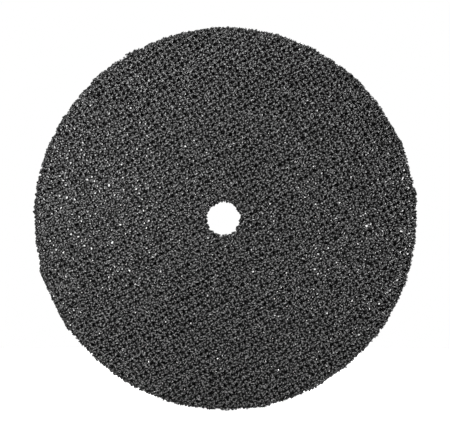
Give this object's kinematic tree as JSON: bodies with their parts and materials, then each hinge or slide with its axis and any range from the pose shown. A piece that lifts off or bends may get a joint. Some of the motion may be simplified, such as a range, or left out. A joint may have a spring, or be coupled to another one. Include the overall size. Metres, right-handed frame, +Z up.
{
  "type": "abrasive mesh disc",
  "caption": "Thin round grinding disc of stacked, bonded plies of grit-coated open leno mesh, with a plain centre bore, clamped on an angle grinder's spindle.",
  "frame": {"origin": "on the bore's axis, halfway through the thickness", "axes": "+Y along the spindle axis, from the front face to the back face; +Z up; +X to the right seen from the front"},
  "size_m": [0.115, 0.004, 0.115],
  "materials": {
    "outer_mesh": "Coarse silicon carbide grit in dark grey resin on woven glass mesh, dull, with small bright crystal faces",
    "inner_mesh": "The same coated mesh between the outer plies, seen only through their openings and at the cut rim"
  },
  "bodies": {
    "root": {"front_ply": "outer_mesh", "second_ply": "inner_mesh", "third_ply": "inner_mesh", "back_ply": "outer_mesh"}
  },
  "joints": []
}
